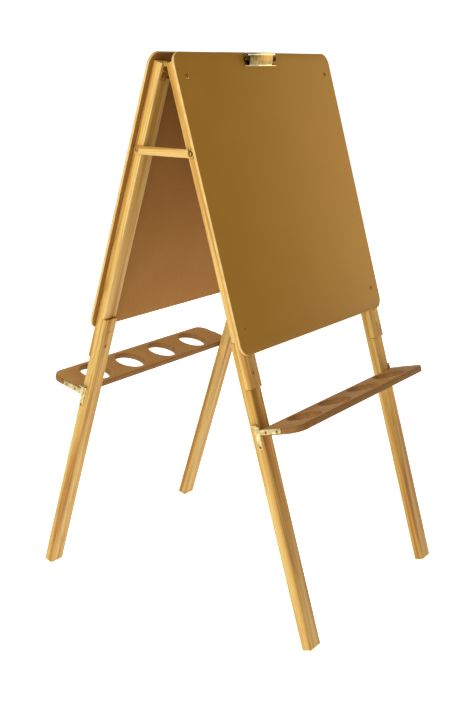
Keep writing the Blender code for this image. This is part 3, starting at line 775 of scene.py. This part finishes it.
def placeSmallScrews(end):
    matrix = slopeMatrix(end)
    outward = matrix.to_3x3() @ Vector((0, 0, 1))
    points = []
    for word in sides:
        low, high = extents(f"hinge_leaf_{end}_{word}", matrix)
        height = extents(f"hinge_pin_{word}", matrix)[1].z + hingeScrew["proud"]
        for row, shift in zip(hingeScrew["rows"], (-1, 1)):
            x = (low.x + high.x) / 2 + shift * hingeScrew["spread"]
            points.append((matrix @ Vector((x, high.y * row, height)), -outward))
    for word, side in sides.items():
        low, high = extents(f"bracket_strap_{end}_{word}", matrix)
        rivetLow, rivetHigh = extents(f"bracket_rivet_{end}_{word}", matrix)
        skin = side * (min(abs(low.x), abs(high.x)) + bracketScrew["strapProud"])
        across = (rivetLow.z + rivetHigh.z) / 2 - bracketScrew["strapInward"]
        spot = matrix @ Vector((0, high.y - bracketScrew["strapFromEnd"], across))
        points.append((Vector((skin, *spot.yz)), Vector((side, 0, 0))))
    setScrews(f"small_screws_{end}", f"{end}_frame", points, crossHead, screws["smallHead"],
              brass, "zinc_plate")
    points = []
    turn = trayMatrix(end)
    trayLow, trayHigh = extents(f"tray_{end}", turn)
    for word, side in sides.items():
        low, high = extents(f"bracket_arm_{end}_{word}", turn)
        skin = side * (max(abs(low.x), abs(high.x)) - bracketScrew["armSink"])
        for along in bracketScrew["armPlaces"]:
            spot = turn @ Vector((skin, along, (trayLow.z + trayHigh.z) / 2))
            points.append((spot, Vector((side, 0, 0))))
    setScrews(f"tray_screws_{end}", f"{end}_tray", points, crossHead, screws["smallHead"],
              brass, "zinc_plate")


def placeStayScrews():
    for body, kind, head, size in (("rear_frame", "stay_screw", crossHead, screws["stayHead"]),
                                   ("front_frame", "stay_stud", slotHead, screws["studHead"])):
        points = []
        for word, side in sides.items():
            low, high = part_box(f"{kind}_{word}")
            stayLow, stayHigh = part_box(f"stay_{word}")
            skin = side * (max(abs(stayLow[0]), abs(stayHigh[0])) + screws["seat"])
            points.append((Vector((skin, (low[1] + high[1]) / 2, (low[2] + high[2]) / 2)),
                           Vector((side, 0, 0))))
        names = [f"{kind}_{word}" for word in sides]
        setScrews(kind + "s", body, points, head, size, brass, "zinc_plate", names)


for end in ends:
    placeScrews(end)
    placeSmallScrews(end)
placeStayScrews()
for head in (crossHead, flatHead, slotHead):
    bpy.data.objects.remove(head, do_unlink=True)
print("screws made")


# ---- floor, light and camera ----

studio = {
    "floorSize": 60.0,
    "floorGlow": 0.66,
    "key": {"location": (-3.6, 0.4, 2.9), "size": 1.8, "power": 90, "colour": "#FFF8EA"},
    "fill": {"location": (-3.4, -1.8, 1.1), "size": 2.0, "power": 22, "colour": "#FFF8EA"},
    "sheen": {"location": (4.6, -1.7, 1.7), "size": 2.6, "power": 60, "colour": "#FFCE80"},
    "back": {"location": (1.8, 4.4, 2.4), "size": 3.0, "power": 60, "colour": "#FFF8EE"},
    "sky": 0.24,
    "aim": (0, 0, 0.7),
    "floorColour": "#FAFAFA",
    "floorRoughness": 0.9,
}
view = {
    "lens": 56.54,
    "fromApex": (-2.0680, -1.3951, 0.0020),
    "heading": -56.14,
    "pitch": -16.41,
    "roll": 0.84,
    "shift": (-0.0103, 0.0403),
    "sensor": 36,
    "farClip": 100,
}


def addFloor():
    mesh = bpy.data.meshes.new("floor")
    shape = bmesh.new()
    bmesh.ops.create_grid(shape, x_segments=2, y_segments=2, size=studio["floorSize"] / 2)
    shape.to_mesh(mesh)
    shape.free()
    floor = addObject("floor", mesh)
    material = newMaterial("white studio floor", Base_Color=linear(studio["floorColour"]),
                           Roughness=studio["floorRoughness"], Emission_Color=(1, 1, 1, 1),
                           Emission_Strength=studio["floorGlow"])[0]
    floor.data.materials.append(material)


def addLight(name, values):
    data = bpy.data.lights.new(name, "AREA")
    data.size = values["size"]
    data.energy = values["power"]
    data.color = linear(values["colour"])[:3]
    light = addObject(name, data)
    light.location = values["location"]
    light.rotation_euler = (Vector(studio["aim"]) - light.location).to_track_quat("-Z", "Y").to_euler()


def addSky():
    world = bpy.data.worlds.new("studio")
    world.use_nodes = True
    # white where it shows as the backdrop, and dimmer as a light
    background = world.node_tree.nodes["Background"]
    background.inputs["Color"].default_value = (1, 1, 1, 1)
    path = addNode(world.node_tree, "ShaderNodeLightPath")
    strength = addNode(world.node_tree, "ShaderNodeMapRange",
                       {"Value": path.outputs["Is Camera Ray"], "To Min": studio["sky"], "To Max": 1.0})
    world.node_tree.links.new(strength.outputs["Result"], background.inputs["Strength"])
    bpy.context.scene.world = world


def addCamera():
    data = bpy.data.cameras.new("camera")
    data.lens = view["lens"]
    data.sensor_width = view["sensor"]
    data.shift_x, data.shift_y = view["shift"]
    data.clip_end = view["farClip"]
    camera = addObject("camera", data)
    foot = Vector(mounts["front_left_foot"]["axis"])
    inner = extents("rail_front_left", slopeMatrix("front"))[0].z
    apex = hingePoint + Vector((0, 0, inner / abs(foot.y)))      # where the rails' inner faces would meet
    turn = (Matrix.Rotation(radians(view["heading"]), 4, "Z")
            @ Matrix.Rotation(radians(90 + view["pitch"]), 4, "X")
            @ Matrix.Rotation(radians(view["roll"]), 4, "Z"))
    camera.matrix_world = Matrix.Translation(apex + Vector(view["fromApex"])) @ turn
    bpy.context.scene.camera = camera


addFloor()
for lamp in ("key", "fill", "sheen", "back"):
    addLight(lamp, studio[lamp])
addSky()
addCamera()
bpy.context.scene.view_settings.view_transform = "Standard"
bpy.context.scene.view_settings.look = "Medium High Contrast"
print("studio made")
